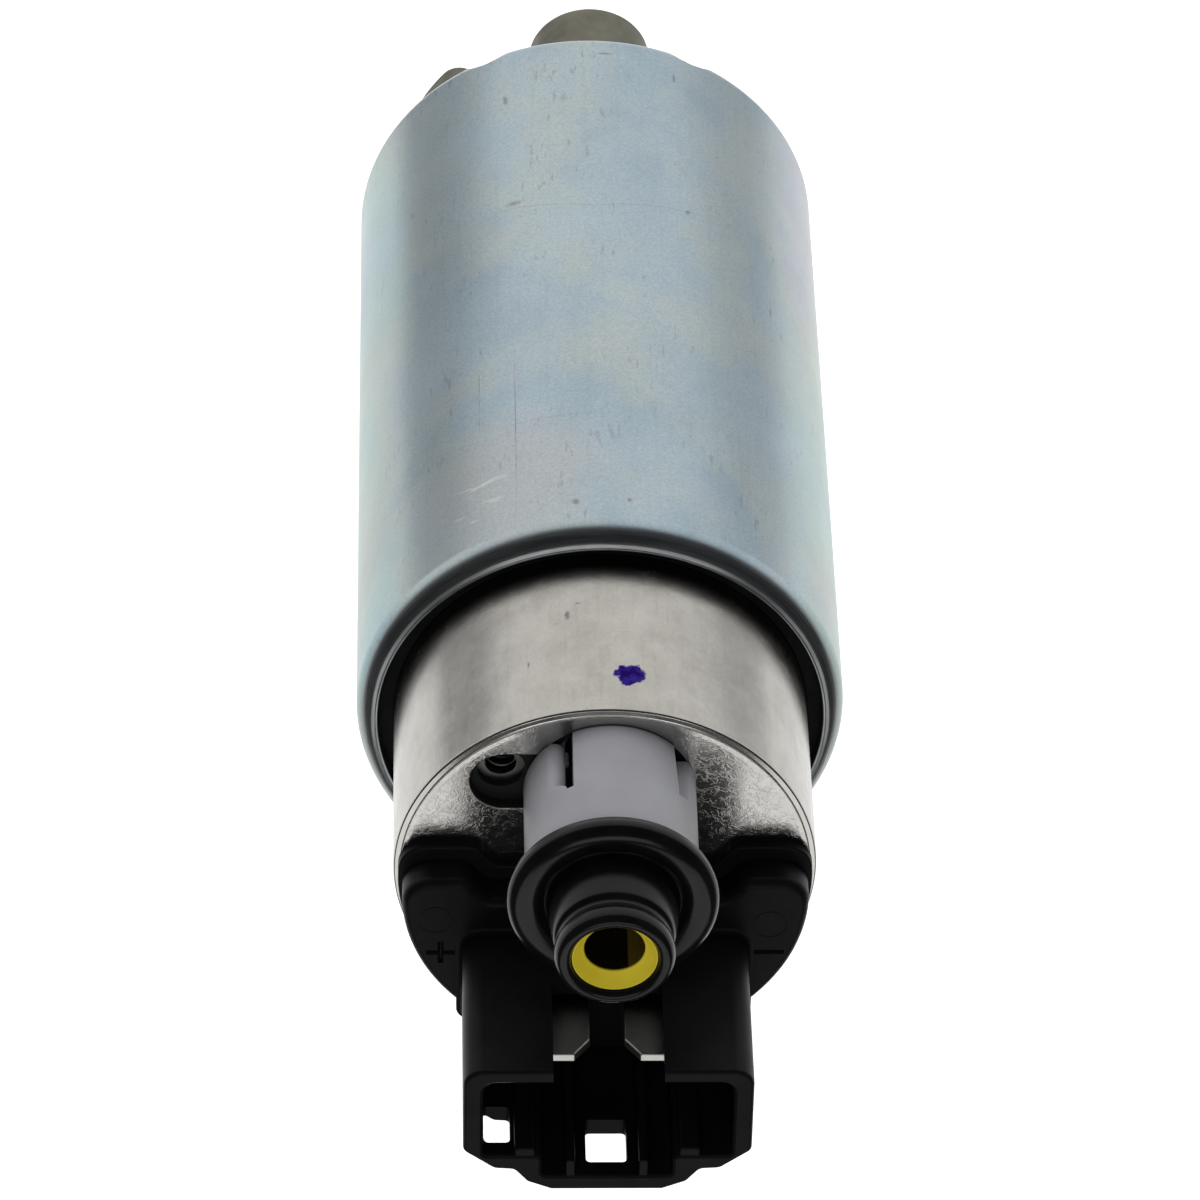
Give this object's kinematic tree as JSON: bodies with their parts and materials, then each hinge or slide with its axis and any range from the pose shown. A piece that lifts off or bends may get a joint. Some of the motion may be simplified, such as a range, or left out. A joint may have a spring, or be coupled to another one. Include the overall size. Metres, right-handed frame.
{
  "type": "electric fuel pump",
  "caption": "In-tank electric fuel pump: a slim plated steel cylinder with a strainer spigot at one end and a rubber-sealed outlet beside a two-blade electrical socket at the other.",
  "frame": {"origin": "on the pump's axis, at the flat face of the inlet end, level with the sleeve's rolled edge", "axes": "+Z along the pump's axis towards the outlet and the socket; the outlet lies on the -Y side and the socket on the +Y side; +X is the side of the positive terminal"},
  "size_m": [0.038, 0.038, 0.1097],
  "materials": {
    "plated_steel": "light blue-grey zinc plating with faint rainbow tints",
    "bright_steel": "satin bright steel",
    "black_rubber": "smooth moulded rubber",
    "black_plastic": "fine matte moulding",
    "dark_plastic": "plain moulding",
    "white_plastic": "milky, slightly clear moulding",
    "yellow_plastic": "smooth moulding",
    "tinned_metal": "dull tin plating",
    "spring_steel": "drawn wire",
    "bronze": "sintered bronze",
    "carbon": "pressed carbon",
    "copper": "enamelled or braided copper",
    "ferrite": "ground ferrite",
    "core_steel": "stacked sheet steel",
    "cast_metal": "machined die casting",
    "cover_metal": "dull olive grey die casting",
    "brown_plastic": "filled moulding"
  },
  "bodies": {
    "housing": {"housing_sleeve": "plated_steel", "sleeve_seal": "black_rubber", "end_cup": "bright_steel", "connector_housing": "black_plastic", "terminal_positive": "tinned_metal", "terminal_negative": "tinned_metal", "outlet_fitting": "white_plastic", "outlet_seal": "black_rubber", "seal_liner": "yellow_plastic", "check_spring": "spring_steel", "check_retainer": "white_plastic", "brush_holder": "dark_plastic", "upper_bearing": "bronze", "relief_spring": "spring_steel", "relief_retainer": "spring_steel", "brush_spring_positive": "spring_steel", "brush_spring_negative": "spring_steel", "pigtail_positive": "copper", "pigtail_negative": "copper", "choke_positive": "copper", "choke_negative": "copper", "magnet_right": "ferrite", "magnet_left": "ferrite", "magnet_clip_front": "spring_steel", "magnet_clip_rear": "spring_steel", "lower_bearing": "bronze", "pump_casing": "cast_metal", "thrust_pin": "bright_steel", "inlet_cover": "cover_metal"},
    "rotor": {"motor_shaft": "bright_steel", "armature_core": "core_steel", "armature_winding": "copper", "commutator": "carbon", "impeller": "brown_plastic"},
    "check_valve": {"check_valve": "black_rubber"},
    "relief_ball": {"relief_ball": "spring_steel"},
    "brush_positive": {"brush_positive": "carbon"},
    "brush_negative": {"brush_negative": "carbon"}
  },
  "joints": [
    {"name": "rotor_spin", "type": "hinge", "parent": "housing", "child": "rotor", "pos_m": [0, 0, 0.03], "axis": [0, 0, 1], "continuous": true},
    {"name": "check_valve_lift", "type": "slide", "parent": "housing", "child": "check_valve", "axis": [0, 0, 1], "range_m": [0, 0.002], "stiffness_N_per_m": 300, "springref_m": -0.002, "deforming": ["check_spring"]},
    {"name": "relief_ball_lift", "type": "slide", "parent": "housing", "child": "relief_ball", "axis": [0, 0, 1], "range_m": [0, 0.001], "stiffness_N_per_m": 800, "springref_m": -0.0024, "deforming": ["relief_spring"]},
    {"name": "brush_positive_slide", "type": "slide", "parent": "housing", "child": "brush_positive", "axis": [0, 0, 1], "range_m": [0, 0.004], "stiffness_N_per_m": 200, "springref_m": -0.003, "deforming": ["brush_spring_positive", "pigtail_positive"]},
    {"name": "brush_negative_slide", "type": "slide", "parent": "housing", "child": "brush_negative", "axis": [0, 0, 1], "range_m": [0, 0.004], "stiffness_N_per_m": 200, "springref_m": -0.003, "deforming": ["brush_spring_negative", "pigtail_negative"]}
  ]
}
